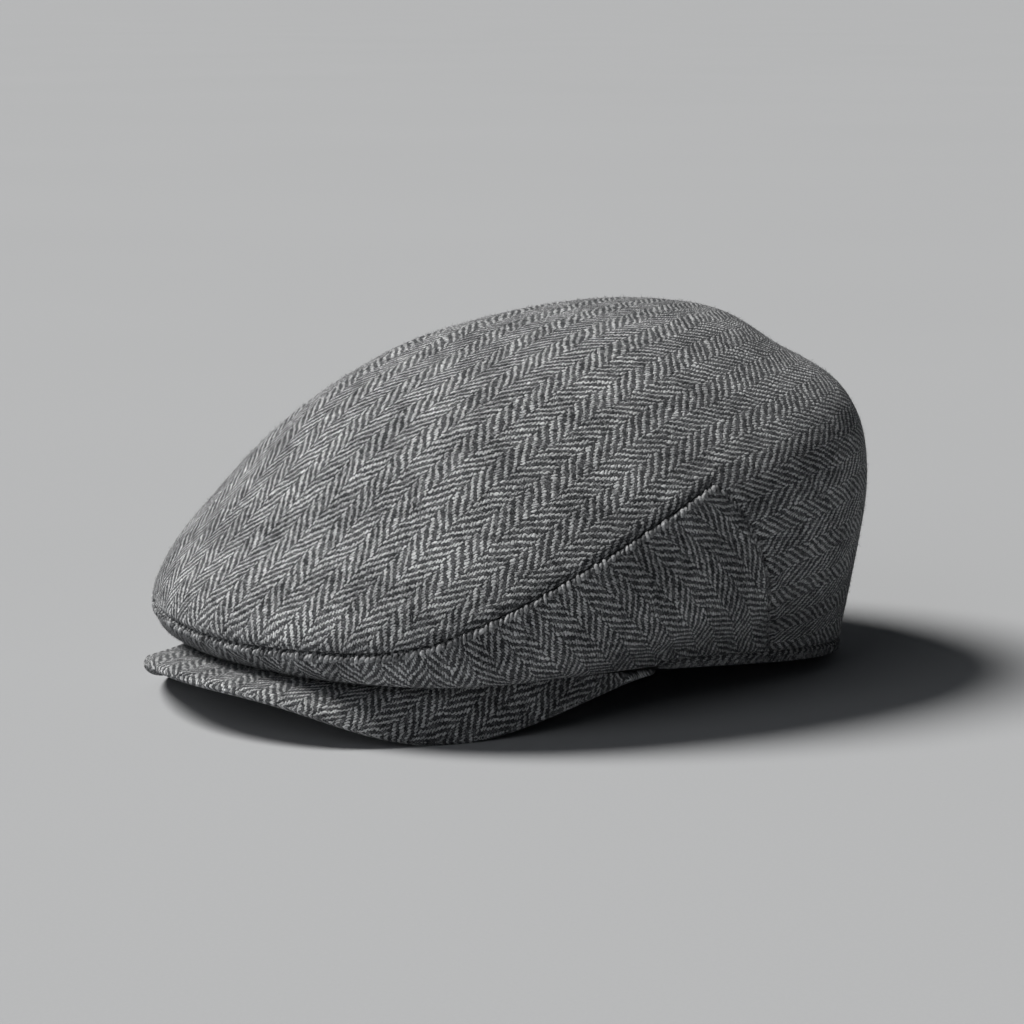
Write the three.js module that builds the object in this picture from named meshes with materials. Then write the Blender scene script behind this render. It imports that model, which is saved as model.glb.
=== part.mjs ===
import * as THREE from "three";

// A flat cap of herringbone wool: a crown panel that runs from the front seam over the head and
// down the back, a side band wrapped round the front and sides, a stiff peak and the rim's hem.
// Millimetres, +Z up. The front faces -Y and the wearer's left is +X. Angles go round the head
// from the middle of the front, 90 degrees is the wearer's left, and "up" goes from 0 at the rim
// to 1 at the top of the crown.

const clothThickness = 2.0; // wool and its backing
const seamGap = 0.3; // between pieces that are sewn to each other
const hemHeight = 3.4; // the turned strip along the rim
const hemThickness = 2.8;
const hemProud = 0.5; // how far the hem stands out from the cloth above it
const peakThickness = 3.8; // two layers of wool over a stiff board
const peakEdgeThickness = 3.0;
const peakEndThickness = 1.0; // where it runs out at its two roots
const peakRootDrop = 0.5; // the peak's root lies this far below the cloth it is sewn under
const hemFlat = 0.6; // how much of the hem's foot is pressed flat where the cap rests on it

// Turns rows of values into objects, with the columns' names.
function table(columns, rows) {
  return rows.map((row) => Object.fromEntries(columns.map((column, i) => [column, row[i]])));
}

// One row for each ring of the cap's wall, from the rim to the crest: how far up it lies, where it
// crosses the middle of the front and back, its half width, the y of its widest place, its heights
// at the front, side and back, and how square its corners are.
const rings = table(
  ["up", "frontY", "backY", "halfWidth", "midY", "frontZ", "sideZ", "backZ", "square"],
  [
    [0.0, -100, 119, 85, 4, 20, 14, 0, 0.08],
    [0.12, -117, 119, 94, -1, 18, 23, 28, 0.08],
    [0.27, -128, 125, 103, -1, 33, 42, 51, 0.04],
    [0.46, -104, 122, 99, 10, 59, 73, 88, 0.04],
    [0.66, -68, 99, 76, 12, 93, 96, 113, 0.03],
    [0.84, -24, 75, 42, 19, 113, 117, 123, 0.01],
  ],
);
const crest = { y: 27, z: 123.5 };

// Soft hollows (minus) and swells (plus) of the cloth: where, how wide, how deep.
const dents = table(
  ["name", "angle", "up", "acrossAngle", "acrossUp", "depth"],
  [
    ["dip behind the top", 160, 0.66, 20, 0.07, -1.8],
    ["back shoulder", 151, 0.54, 18, 0.06, 1.6],
    ["hollow over the hem", 86, 0.1, 13, 0.06, -2.6],
    ["swell before the back seam", 93, 0.24, 7, 0.08, 1.4],
    ["hollow of the right side", -80, 0.12, 12, 0.06, -2.0],
    ["dip right of the back", 205, 0.6, 18, 0.09, -1.4],
  ],
);

// The long seam between crown and band, from the middle of the front to the corner at its end.
const cornerAngle = 85.5;
const seamUp = { along: [0, 0.25, 0.5, 0.75, 1], up: [0.23, 0.235, 0.262, 0.387, 0.497] };
// The back seam falls from that corner to the rim.
const backSeam = { middleAngle: 101.5, rimAngle: 109.5 };

// The peak's outer edge: its plan, and how high its underside stands round it.
const peakPlan = { rootX: 83, rootY: -12, frontY: -140, squareness: 0.76 };
const peakHeights = { angle: [-90, -60, -30, 0, 30, 60, 90], z: [13.8, -1, 10.5, 14.5, 10.5, -1, 13.8] };
const peakRootAngle = 82; // where the peak's root ends on the rim
const hemStartTurn = 1.4; // the hem starts this many degrees behind it
const hemLiftTurn = 6; // and the cloth starts to lift over the hem this many degrees before it

const crownRows = 20;
const frontColumns = 34;
const backSeamColumns = 6;
const rimColumns = 24;
const bandRows = 8;
const bandColumns = 60;
const peakRows = [0, 0.18, 0.36, 0.54, 0.7, 0.84, 0.94, 1]; // from its root to its outer edge
const peakColumns = 44;
const hemColumns = 64;

const degrees = THREE.MathUtils.degToRad;
const mix = THREE.MathUtils.lerp;

// A natural cubic spline through the given values at the given knots.
function spline(knots, values) {
  const last = knots.length - 1;
  const bend = new Array(last + 1).fill(0);
  const carry = new Array(last + 1).fill(0);
  for (let i = 1; i < last; i++) {
    const before = knots[i] - knots[i - 1];
    const after = knots[i + 1] - knots[i];
    const turn = (values[i + 1] - values[i]) / after - (values[i] - values[i - 1]) / before;
    const pivot = 2 * (before + after) - before * carry[i - 1];
    carry[i] = after / pivot;
    bend[i] = (6 * turn - before * bend[i - 1]) / pivot;
  }
  for (let i = last - 1; i > 0; i--) bend[i] -= carry[i] * bend[i + 1];
  return (at) => {
    let i = 0;
    while (i < last - 1 && at > knots[i + 1]) i++;
    const width = knots[i + 1] - knots[i];
    const a = (knots[i + 1] - at) / width;
    const b = 1 - a;
    const curve = ((a ** 3 - a) * bend[i] + (b ** 3 - b) * bend[i + 1]) * width * width / 6;
    return a * values[i] + b * values[i + 1] + curve;
  };
}

// A value that runs smoothly round a ring, from its front to its side to its back.
function round(front, side, back, angle) {
  const c = Math.cos(angle);
  return side + (front - back) / 2 * c + ((front + back) / 2 - side) * c * c;
}

function ringPoint(ring, angle) {
  const corner = 1 + 4 * ring.square * Math.cos(angle) ** 2;
  const x = ring.halfWidth * Math.sin(angle) * corner;
  const y = round(ring.frontY, ring.midY, ring.backY, angle);
  const z = round(ring.frontZ, ring.sideZ, ring.backZ, angle);
  return new THREE.Vector3(x, y, z);
}

// The line up the cap's wall at one angle. It goes on over the crest and down the other side, so
// that it passes smoothly over the top.
const wallLines = new Map();
function wallLine(angle) {
  const key = angle.toFixed(6);
  if (!wallLines.has(key)) {
    const here = rings.map((ring) => ringPoint(ring, angle));
    const beyond = rings.map((ring) => ringPoint(ring, angle + Math.PI)).reverse();
    const points = [...here, new THREE.Vector3(0, crest.y, crest.z), ...beyond];
    const ups = rings.map((ring) => ring.up);
    const knots = [...ups, 1, ...ups.map((up) => 2 - up).reverse()];
    const [x, y, z] = ["x", "y", "z"].map((axis) => spline(knots, points.map((point) => point[axis])));
    wallLines.set(key, (up) => new THREE.Vector3(x(up), y(up), z(up)));
  }
  return wallLines.get(key);
}

function dentDepth(angle, up) {
  let depth = 0;
  for (const dent of dents) {
    const turn = THREE.MathUtils.radToDeg(angle) - dent.angle;
    const along = (THREE.MathUtils.euclideanModulo(turn + 180, 360) - 180) / dent.acrossAngle;
    const above = (up - dent.up) / dent.acrossUp;
    depth += dent.depth * Math.exp(-(along * along + above * above) / 2);
  }
  return depth;
}

// The wall's lines all meet at the crest, so its normal is measured a little below that.
function wallNormal(angle, up) {
  const step = 0.004;
  const low = Math.min(up, 0.985);
  const sideways = wallLine(angle + step)(low).sub(wallLine(angle - step)(low));
  const upward = wallLine(angle)(low + step).sub(wallLine(angle)(low - step));
  return sideways.cross(upward).normalize();
}

// A point of the wall, this deep under its outer face.
function wallPoint(angle, up, depth = 0) {
  if (up === 1) return new THREE.Vector3(0, crest.y, crest.z - depth);
  return wallLine(angle)(up).addScaledVector(wallNormal(angle, up), dentDepth(angle, up) - depth);
}

const seamRise = spline(
  seamUp.along.map((a) => -a).reverse().slice(0, -1).concat(seamUp.along),
  seamUp.up.slice(1).reverse().concat(seamUp.up),
);
const cornerUp = seamUp.up[seamUp.up.length - 1];

function backSeamAngle(up) {
  const part = up / cornerUp;
  const rim = backSeam.rimAngle * (1 - part) * (1 - 2 * part);
  const middle = 4 * backSeam.middleAngle * part * (1 - part);
  return degrees(rim + middle + cornerAngle * part * (2 * part - 1));
}

// The lowest that the band's turned-in lower edge hangs, at one angle.
function lowestCloth(angle) {
  return Math.min(...spread(0, 0.18, 18).map((up) => wallPoint(angle, up).z));
}

// How far up the wall a length of cloth reaches, near the rim.
function upForLength(angle, length) {
  const sample = 0.02;
  const line = wallLine(angle);
  return sample * length / line(0).distanceTo(line(sample));
}

// Turns two matching grids of points, an outer and an inner face, into one closed shell. The
// grid's rows run from the lower edge up. A closed grid joins its last column to its first.
function shell(outer, inner, closed = false) {
  const rows = outer.length;
  const columns = outer[0].length;
  const positions = [];
  for (const face of [outer, inner]) {
    for (const row of face) for (const point of row) positions.push(point.x, point.y, point.z);
  }
  const at = (side, row, column) => (side * rows + row) * columns + (column % columns);
  const triangles = [];
  const quad = (a, b, c, d) => triangles.push(a, b, c, a, c, d);
  const spans = closed ? columns : columns - 1;
  for (let c = 0; c < spans; c++) {
    for (let r = 0; r < rows - 1; r++) {
      quad(at(0, r, c), at(0, r, c + 1), at(0, r + 1, c + 1), at(0, r + 1, c));
      quad(at(1, r, c), at(1, r + 1, c), at(1, r + 1, c + 1), at(1, r, c + 1));
    }
    quad(at(1, 0, c), at(1, 0, c + 1), at(0, 0, c + 1), at(0, 0, c));
    quad(at(0, rows - 1, c), at(0, rows - 1, c + 1), at(1, rows - 1, c + 1), at(1, rows - 1, c));
  }
  if (!closed) {
    const end = columns - 1;
    for (let r = 0; r < rows - 1; r++) {
      quad(at(0, r, 0), at(0, r + 1, 0), at(1, r + 1, 0), at(1, r, 0));
      quad(at(0, r, end), at(1, r, end), at(1, r + 1, end), at(0, r + 1, end));
    }
  }
  return { positions, triangles };
}

// Makes the buffer geometry, leaving out triangles whose corners fall together.
function toGeometry({ positions, triangles }) {
  const keys = new Map();
  const points = [];
  const merged = [];
  for (let i = 0; i < positions.length; i += 3) {
    const key = positions.slice(i, i + 3).map((value) => value.toFixed(4)).join(" ");
    if (!keys.has(key)) {
      keys.set(key, points.length / 3);
      points.push(...positions.slice(i, i + 3));
    }
    merged.push(keys.get(key));
  }
  const index = [];
  for (let i = 0; i < triangles.length; i += 3) {
    const [a, b, c] = triangles.slice(i, i + 3).map((corner) => merged[corner]);
    if (a !== b && b !== c && c !== a) index.push(a, b, c);
  }
  const geometry = new THREE.BufferGeometry();
  geometry.setAttribute("position", new THREE.Float32BufferAttribute(points, 3));
  geometry.setIndex(index);
  geometry.computeVertexNormals();
  return geometry;
}

function spread(from, to, count) {
  return Array.from({ length: count + 1 }, (_, i) => mix(from, to, i / count));
}

// The crown panel's lower edge, as a list of { angle, up } once round the cap: the front seam,
// the left back seam, the rim behind the head, and the right back seam.
function crownEdge() {
  const corner = degrees(cornerAngle);
  const hemUp = (angle) => upForLength(angle, hemHeight + seamGap);
  const front = spread(-1, 1, frontColumns).map((along) => ({ angle: along * corner, up: seamRise(along) }));
  const down = spread(cornerUp, 0, backSeamColumns).slice(1, -1);
  const left = down.map((up) => ({ angle: backSeamAngle(up), up }));
  const right = left.map(({ angle, up }) => ({ angle: 2 * Math.PI - angle, up })).reverse();
  const rimStart = backSeamAngle(0);
  const rimAngles = spread(rimStart, 2 * Math.PI - rimStart, rimColumns);
  const rim = rimAngles.map((angle) => ({ angle, up: hemUp(angle) }));
  const lift = upForLength(corner, seamGap / 2);
  return [...front, ...left, ...rim, ...right].map(({ angle, up }) => ({ angle, up: up + lift }));
}

function crownPanel() {
  const edge = crownEdge();
  const face = (depth) => spread(0, 1, crownRows).map((part) => (
    edge.map(({ angle, up }) => wallPoint(angle, mix(up, 1, part), depth))
  ));
  return toGeometry(shell(face(0), face(clothThickness), true));
}

// The band's grid: along from -1 to 1 between the two back seams, part from 0 at its lower edge
// to 1 at the long seam.
function bandPlace(along, part) {
  const edge = Math.abs(along);
  const footAngle = edge * mix(cornerAngle, backSeam.rimAngle, edge ** 4);
  const liftFrom = peakRootAngle - hemLiftTurn;
  const overHem = THREE.MathUtils.smoothstep(footAngle, liftFrom, liftFrom + hemLiftTurn / 2);
  const lowest = overHem * upForLength(degrees(footAngle), hemHeight + seamGap);
  const low = mix(lowest, cornerUp, part);
  const turn = mix(degrees(cornerAngle), backSeamAngle(low), edge ** 4);
  return { angle: along * turn, up: mix(lowest, seamRise(along), part) };
}

// The band keeps a gap to the crown: at its two ends it stops a small turn short of the back
// seams, and along its top it stops a little below the long seam.
function sideBand() {
  const endTurn = seamGap / rings[1].halfWidth;
  const topDrop = upForLength(degrees(cornerAngle), seamGap);
  const face = (depth) => spread(0, 1, bandRows).map((part) => (
    spread(-1, 1, bandColumns).map((along) => {
      const { angle, up } = bandPlace(along, part);
      return wallPoint(angle - endTurn * along ** 9, up - topDrop * part, depth);
    })
  ));
  return toGeometry(shell(face(0), face(clothThickness)));
}

// The peak's outer edge, at an angle of its own from the middle of the front.
const peakRise = spline(peakHeights.angle, peakHeights.z);
function peakEdge(turn) {
  const c = Math.abs(Math.cos(turn)) ** peakPlan.squareness;
  const y = mix(peakPlan.rootY, peakPlan.frontY, c);
  return new THREE.Vector3(peakPlan.rootX * Math.sin(turn), y, peakRise(THREE.MathUtils.radToDeg(turn)));
}

function peak() {
  const faces = [[], []];
  for (const out of peakRows) {
    const rows = [[], []];
    for (const turn of spread(-Math.PI / 2, Math.PI / 2, peakColumns)) {
      const rootAngle = turn / (Math.PI / 2) * degrees(peakRootAngle);
      const top = wallPoint(rootAngle, 0, clothThickness / 2).setZ(lowestCloth(rootAngle) - peakRootDrop);
      const edge = peakEdge(turn);
      const full = Math.cos(turn) ** 0.3;
      top.lerp(edge.setZ(edge.z + mix(peakEndThickness, peakEdgeThickness, full)), out);
      const bottom = top.clone();
      const thickness = mix(peakEndThickness, mix(peakThickness, peakEdgeThickness, out ** 3), full);
      bottom.z = Math.max(bottom.z - thickness, 0);
      rows[0].push(top);
      rows[1].push(bottom);
    }
    faces[0].unshift(rows[0]);
    faces[1].unshift(rows[1]);
  }
  return toGeometry(shell(faces[0], faces[1]));
}

// The hem: a rounded strip under the lower edge of the cloth, from one root of the peak round
// the back to the other.
function rimHem() {
  const start = degrees(peakRootAngle + hemStartTurn);
  const section = [
    { depth: 0, rise: 0.12 }, { depth: 0, rise: 0.88 }, { depth: 0.2, rise: 1 }, { depth: 0.8, rise: 1 },
    { depth: 1, rise: 0.88 }, { depth: 1, rise: 0.12 }, { depth: 0.8, rise: 0 }, { depth: 0.2, rise: 0 },
  ];
  const positions = [];
  const stations = spread(start, 2 * Math.PI - start, hemColumns);
  for (const angle of stations) {
    const top = upForLength(angle, hemHeight);
    for (const { depth, rise } of section) {
      const point = wallPoint(angle, rise * top, depth * hemThickness - hemProud);
      positions.push(point.x, point.y, Math.max(point.z - hemFlat * (1 - rise), 0));
    }
  }
  const sides = section.length;
  const triangles = [];
  for (let i = 0; i < stations.length - 1; i++) {
    for (let s = 0; s < sides; s++) {
      const a = i * sides + s;
      const b = i * sides + (s + 1) % sides;
      triangles.push(a, b + sides, b, a, a + sides, b + sides);
    }
  }
  const end = (stations.length - 1) * sides;
  for (let s = 1; s < sides - 1; s++) {
    triangles.push(0, s, s + 1);
    triangles.push(end, end + s + 1, end + s);
  }
  return toGeometry({ positions, triangles });
}

function piece(name, geometry, colour) {
  const material = new THREE.MeshStandardMaterial({ color: colour, roughness: 0.95, metalness: 0 });
  const mesh = new THREE.Mesh(geometry, material);
  mesh.name = name;
  return mesh;
}

const cap = new THREE.Group();
cap.add(piece("crown_panel", crownPanel(), 0x6a6d70));
cap.add(piece("side_band", sideBand(), 0x64676a));
cap.add(piece("peak", peak(), 0x66696c));
cap.add(piece("rim_hem", rimHem(), 0x5c5f62));

// The origin is the middle of the space that the cap takes up, on the surface that it rests on.
const space = new THREE.Box3().setFromObject(cap);
cap.position.set(0, -(space.min.y + space.max.y) / 2, -space.min.z);

const root = new THREE.Group();
root.add(cap);
export default root;
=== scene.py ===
import math

import bpy
import numpy as np
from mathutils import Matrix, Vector, kdtree


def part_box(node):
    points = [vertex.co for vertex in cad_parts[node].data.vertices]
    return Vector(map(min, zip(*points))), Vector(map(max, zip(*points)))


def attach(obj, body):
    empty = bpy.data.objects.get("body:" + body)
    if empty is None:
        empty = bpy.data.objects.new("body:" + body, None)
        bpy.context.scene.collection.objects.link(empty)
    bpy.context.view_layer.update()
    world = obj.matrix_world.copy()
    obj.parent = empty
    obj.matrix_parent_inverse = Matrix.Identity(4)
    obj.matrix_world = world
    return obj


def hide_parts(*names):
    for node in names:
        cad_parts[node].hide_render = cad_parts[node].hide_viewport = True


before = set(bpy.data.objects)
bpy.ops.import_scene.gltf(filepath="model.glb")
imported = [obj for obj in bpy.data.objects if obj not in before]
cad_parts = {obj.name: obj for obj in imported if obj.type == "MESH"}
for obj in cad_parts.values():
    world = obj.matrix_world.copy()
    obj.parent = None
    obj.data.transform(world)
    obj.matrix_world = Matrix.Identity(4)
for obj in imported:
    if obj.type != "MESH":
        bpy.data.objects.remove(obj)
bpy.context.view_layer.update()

# A flat cap in herringbone wool. The form is worked out in millimetres, in the cap's own place,
# and goes to metres in the row frame when a mesh is made. The front faces -Y and the wearer's
# left is +X. Left and right in the pieces' names are as seen from in front. Angles go round the
# head from the middle of the front, and "up" goes from 0 at the rim to 1 at the top of the crown.

form = {
    "rings": [  # up, front y, back y, half width, y of the widest place, front z, side z, back z, squareness
        (0.00, -100, 119, 85, 4, 20, 14, 0, 0.08),
        (0.12, -117, 119, 94, -1, 18, 23, 28, 0.08),
        (0.27, -128, 125, 103, -1, 33, 42, 51, 0.04),
        (0.46, -104, 122, 99, 10, 59, 73, 88, 0.04),
        (0.66, -68, 99, 76, 12, 93, 96, 113, 0.03),
        (0.84, -24, 75, 42, 19, 113, 117, 123, 0.01),
    ],
    "crest": (0, 27, 123.5),
    "dents": [  # angle, up, how wide along, how wide up, how far out
        (160, 0.66, 20, 0.07, -1.8),
        (151, 0.54, 18, 0.06, 1.6),
        (86, 0.10, 13, 0.06, -2.6),
        (93, 0.24, 7, 0.08, 1.4),
        (-80, 0.12, 12, 0.06, -2.0),
        (205, 0.60, 18, 0.09, -1.4),
        (-42, 0.13, 20, 0.07, 2.3),
    ],
    "seamAlong": (0, 0.25, 0.5, 0.75, 1),  # from the middle of the front to a corner of the band
    "seamUp": (0.23, 0.235, 0.262, 0.387, 0.497),
    "cornerAngle": 85.5,
    "backSeamMiddle": 101.5,
    "backSeamRim": 109.5,
    "seamRadius": 94,  # from the middle of the head to the back seams
    "thickness": 2.0,
    "gap": 0.3,
    "hemHeight": 3.4,
    "peakFrontY": -140,  # this goes to the front of the frame's peak
}
cornerAngle = math.radians(form["cornerAngle"])
cornerUp = form["seamUp"][-1]

# how far the cloth rolls in at a sewn edge, and how high and how wide it swells beside it
seaming = {"crownRoll": 1.35, "bandRoll": 1.55, "puff": 0.45, "puffWidth": 4.5}


def mix(a, b, share):
    return a + (b - a) * share


def smooth(value, low, high):
    share = np.clip((value - low) / (high - low), 0, 1)
    return share * share * (3 - 2 * share)


def unit(vectors):
    return vectors / np.maximum(np.linalg.norm(vectors, axis=-1, keepdims=True), 1e-9)


# A natural cubic spline's bends at its knots, as a matrix that works on the values there.
def bendMatrix(knots):
    count = len(knots)
    left, right = np.eye(count), np.zeros((count, count))
    for i in range(1, count - 1):
        before, after = knots[i] - knots[i - 1], knots[i + 1] - knots[i]
        left[i, i - 1:i + 2] = before, 2 * (before + after), after
        right[i, i - 1:i + 2] = 6 / before, -6 / before - 6 / after, 6 / after
    return np.linalg.solve(left, right)


def splineAt(knots, values, bends, at):
    i = np.clip(np.searchsorted(knots, at, side="right") - 1, 0, len(knots) - 2)
    width = knots[i + 1] - knots[i]
    a = (knots[i + 1] - at) / width
    b = 1 - a
    if values.ndim == 1:
        low, high, bendLow, bendHigh = values[i], values[i + 1], bends[i], bends[i + 1]
    else:
        pick = np.arange(len(at))
        low, high = values[pick, i], values[pick, i + 1]
        bendLow, bendHigh = bends[pick, i], bends[pick, i + 1]
        a, b, width = a[:, None], b[:, None], width[:, None]
    return a * low + b * high + ((a ** 3 - a) * bendLow + (b ** 3 - b) * bendHigh) * width ** 2 / 6


rings = np.array(form["rings"], float)
ups = rings[:, 0]
wallKnots = np.concatenate([ups, [1], 2 - ups[::-1]])
wallBends = bendMatrix(wallKnots)
nudge = 0.004  # a small step round the wall or up it, to find which way it runs
highest = 0.985  # and no such step starts nearer the top than this


def ringPoints(angle):
    s, c = np.sin(angle)[:, None], np.cos(angle)[:, None]
    _, frontY, backY, halfWidth, midY, frontZ, sideZ, backZ, square = rings.T

    def across(front, side, back):
        return side + (front - back) / 2 * c + ((front + back) / 2 - side) * c * c

    x = halfWidth * s * (1 + 4 * square * c * c)
    return np.stack([x, across(frontY, midY, backY), across(frontZ, sideZ, backZ)], axis=2)


# The smooth wall: each line runs up from the rim, over the top and down the other side.
def wallLine(angle, up):
    crest = np.broadcast_to(np.array(form["crest"], float), (len(angle), 1, 3))
    held = np.concatenate([ringPoints(angle), crest, ringPoints(angle + math.pi)[:, ::-1]], axis=1)
    bends = np.einsum("ij,njk->nik", wallBends, held)
    return splineAt(wallKnots, held, bends, up)


def wallNormal(angle, up):
    low = np.minimum(up, highest)
    sideways = wallLine(angle + nudge, low) - wallLine(angle - nudge, low)
    upward = wallLine(angle, low + nudge) - wallLine(angle, low - nudge)
    return unit(np.cross(sideways, upward))


# Which way the wall runs round the head.
def ringWay(angle, up):
    flat, low = angle.ravel(), np.minimum(up, highest).ravel()
    way = wallLine(flat + nudge, low) - wallLine(flat - nudge, low)
    return unit(way.reshape(*up.shape, 3))


# How far out the dents and swellings push the wall.
def dentPush(angle, up):
    push = np.zeros(len(angle))
    for at, height, wide, tall, far in form["dents"]:
        along = ((np.degrees(angle) - at + 180) % 360 - 180) / wide
        push += far * np.exp(-(along ** 2 + ((up - height) / tall) ** 2) / 2)
    return push


# A place on the cap's outer skin, or "depth" millimetres below it.
def wallPoint(angle, up, depth=0.0):
    shape = np.broadcast(angle, up, depth).shape
    angle, up, depth = (np.broadcast_to(v, shape).ravel().astype(float) for v in (angle, up, depth))
    points = wallLine(angle, up) + wallNormal(angle, up) * (dentPush(angle, up) - depth)[:, None]
    top = up >= 1 - 1e-9
    points[top] = np.array(form["crest"], float) - np.outer(depth[top], (0, 0, 1))
    return points.reshape(*shape, 3)


seamKnots = np.array([-a for a in form["seamAlong"][:0:-1]] + list(form["seamAlong"]), float)
seamValues = np.array(list(form["seamUp"][:0:-1]) + list(form["seamUp"]), float)
seamBends = bendMatrix(seamKnots) @ seamValues


def seamRise(along):
    flat = np.clip(np.ravel(along), -1, 1)
    return splineAt(seamKnots, seamValues, seamBends, flat).reshape(np.shape(along))


def backSeamAngle(up):
    part = up / cornerUp
    rim = form["backSeamRim"] * (1 - part) * (1 - 2 * part)
    middle = 4 * form["backSeamMiddle"] * part * (1 - part)
    return np.radians(rim + middle + form["cornerAngle"] * part * (2 * part - 1))


# How far "up" a length in millimetres reaches from the rim.
def upForLength(angle, length):
    flat = np.ravel(angle).astype(float)
    little = 0.02
    rim = wallLine(flat, np.zeros(len(flat)))
    near = np.linalg.norm(wallLine(flat, np.full(len(flat), little)) - rim, axis=1)
    return (little * length / near).reshape(np.shape(angle))


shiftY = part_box("peak")[0].y * 1000 - form["peakFrontY"]
clothUnit = 10  # millimetres of flat cloth to one unit of the cloth map


def toMetres(points):
    return (points + np.array([0, shiftY, 0])) / 1000


# The quads of a grid, given the number of each point.
def quadsOf(numbers):
    a, b, c, d = numbers[:-1, :-1], numbers[:-1, 1:], numbers[1:, 1:], numbers[1:, :-1]
    return np.stack([a, b, c, d], axis=-1).reshape(-1, 4)


# Point numbers of a grid that goes right round: its last column is its first one again.
def ringNumbers(rows, columns, first=0):
    numbers = first + np.arange(rows * (columns - 1)).reshape(rows, columns - 1)
    return np.concatenate([numbers, numbers[:, :1]], axis=1)


# The places on the cloth of all corners of a laid grid's quads.
def cornersOn(laid):
    cells = np.arange(laid.shape[0] * laid.shape[1]).reshape(laid.shape[:2])
    return laid.reshape(-1, 2)[quadsOf(cells).ravel()]


def runLength(line):
    return np.concatenate([[0], np.cumsum(np.linalg.norm(np.diff(line, axis=0), axis=1))])


def addObject(name, data):
    made = bpy.data.objects.new(name, data)
    bpy.context.scene.collection.objects.link(made)
    return made


def makeMesh(name, points, faces, uv, attributes=None):
    mesh = bpy.data.meshes.new(name)
    mesh.from_pydata(toMetres(points).tolist(), [], faces)
    mesh.polygons.foreach_set("use_smooth", [True] * len(mesh.polygons))
    layer = mesh.uv_layers.new(name="cloth")
    layer.data.foreach_set("uv", np.asarray(uv, np.float32).ravel())
    for key, values in (attributes or {}).items():
        made = mesh.attributes.new(key, "FLOAT", "POINT")
        made.data.foreach_set("value", np.asarray(values, np.float32))
    mesh.update()
    return addObject(name, mesh)


# One wool for a piece and another for the faces that lie inside it.
def giveWool(piece, finish, insideFinish, inside):
    piece.data.materials.append(finish)
    piece.data.materials.append(insideFinish)
    slots = np.zeros(len(piece.data.polygons), int)
    slots[inside] = 1
    piece.data.polygons.foreach_set("material_index", slots)


laying = {
    "hold": 8,  # how much more the bands' direction counts than the cloth's size
    "rounds": 700,
    "strides": (12, 6, 3, 2),  # nets from coarse to fine
}


# Finds where each point of a curved piece lay on the flat cloth, in millimetres across the bands
# and along them. The cloth keeps its size as well as it can, and no band drifts off "along".
# Pinned points stay at nought, and in joined rows the first and the last column are one.
def layFlat(points, along, across, pins, joined, start=None):
    vertical, sideways = points[1:] - points[:-1], points[:, 1:] - points[:, :-1]
    vLength = np.maximum(np.linalg.norm(vertical, axis=-1), 1e-3)
    sLength = np.maximum(np.linalg.norm(sideways, axis=-1), 1e-3)
    vRoom, sRoom = np.zeros(points.shape[:2]), np.zeros(points.shape[:2])
    vRoom[:, :-1] += sLength / 2
    vRoom[:, 1:] += sLength / 2
    sRoom[:-1] += vLength / 2
    sRoom[1:] += vLength / 2
    vWeight = (vRoom[1:] + vRoom[:-1]) / 2 / vLength
    sWeight = (sRoom[:, 1:] + sRoom[:, :-1]) / 2 / sLength

    # how much a value climbs along the bands, cell by cell
    e = (sideways[:-1] + sideways[1:]) / 2
    g = (vertical[:, :-1] + vertical[:, 1:]) / 2
    ee, eg, gg = (e * e).sum(-1), (e * g).sum(-1), (g * g).sum(-1)
    room = np.maximum(ee * gg - eg * eg, 1e-12)
    bands = (along[:-1, :-1] + along[1:, :-1] + along[:-1, 1:] + along[1:, 1:]) / 4
    be, bg = (bands * e).sum(-1), (bands * g).sum(-1)
    ce, cg = (gg * be - eg * bg) / room / 2, (ee * bg - eg * be) / room / 2
    held = np.where(room > 1e-6, laying["hold"] * np.sqrt(room), 0)
    early, late = slice(None, -1), slice(1, None)
    corners = (
        (early, early, -ce - cg), (early, late, ce - cg),
        (late, early, cg - ce), (late, late, ce + cg),
    )

    def climb(value):
        return sum(value[a, b] * share for a, b, share in corners)

    def gather(v, s, c):
        total = np.zeros(points.shape[:2])
        total[1:] += v
        total[:-1] -= v
        total[:, 1:] += s
        total[:, :-1] -= s
        for a, b, share in corners:
            total[a, b] += c * share
        total[pins] = 0
        total[joined, 0] = total[joined, -1] = total[joined, 0] + total[joined, -1]
        return total

    diagonal = np.zeros(points.shape[:2])
    diagonal[1:] += vWeight
    diagonal[:-1] += vWeight
    diagonal[:, 1:] += sWeight
    diagonal[:, :-1] += sWeight
    counted = np.ones(points.shape[:2])
    counted[joined, -1] = 0

    # least squares for each of the two directions, by conjugate gradients
    laid = []
    for k, (field, holding) in enumerate(((across, held), (along, held * 0))):
        weights = diagonal.copy()
        for a, b, share in corners:
            weights[a, b] += holding * share ** 2
        weights[joined, 0] = weights[joined, -1] = weights[joined, 0] + weights[joined, -1]
        vWant = ((field[1:] + field[:-1]) / 2 * vertical).sum(-1)
        sWant = ((field[:, 1:] + field[:, :-1]) / 2 * sideways).sum(-1)
        value = np.zeros(points.shape[:2]) if start is None else start[..., k].copy()
        value[pins] = 0
        left = gather(
            vWeight * (vWant - value[1:] + value[:-1]), sWeight * (sWant - value[:, 1:] + value[:, :-1]),
            -holding * climb(value),
        )
        eased = left / weights
        way, size = eased.copy(), (left * eased * counted).sum()
        first = size
        for _ in range(laying["rounds"]):
            turned = gather(
                vWeight * (way[1:] - way[:-1]), sWeight * (way[:, 1:] - way[:, :-1]), holding * climb(way)
            )
            step = size / (way * turned * counted).sum()
            value += step * way
            left -= step * turned
            eased = left / weights
            newSize = (left * eased * counted).sum()
            if newSize < first * 1e-10:
                break
            way = eased + newSize / size * way
            size = newSize
        laid.append(value)
    return np.stack(laid, axis=-1)


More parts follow.
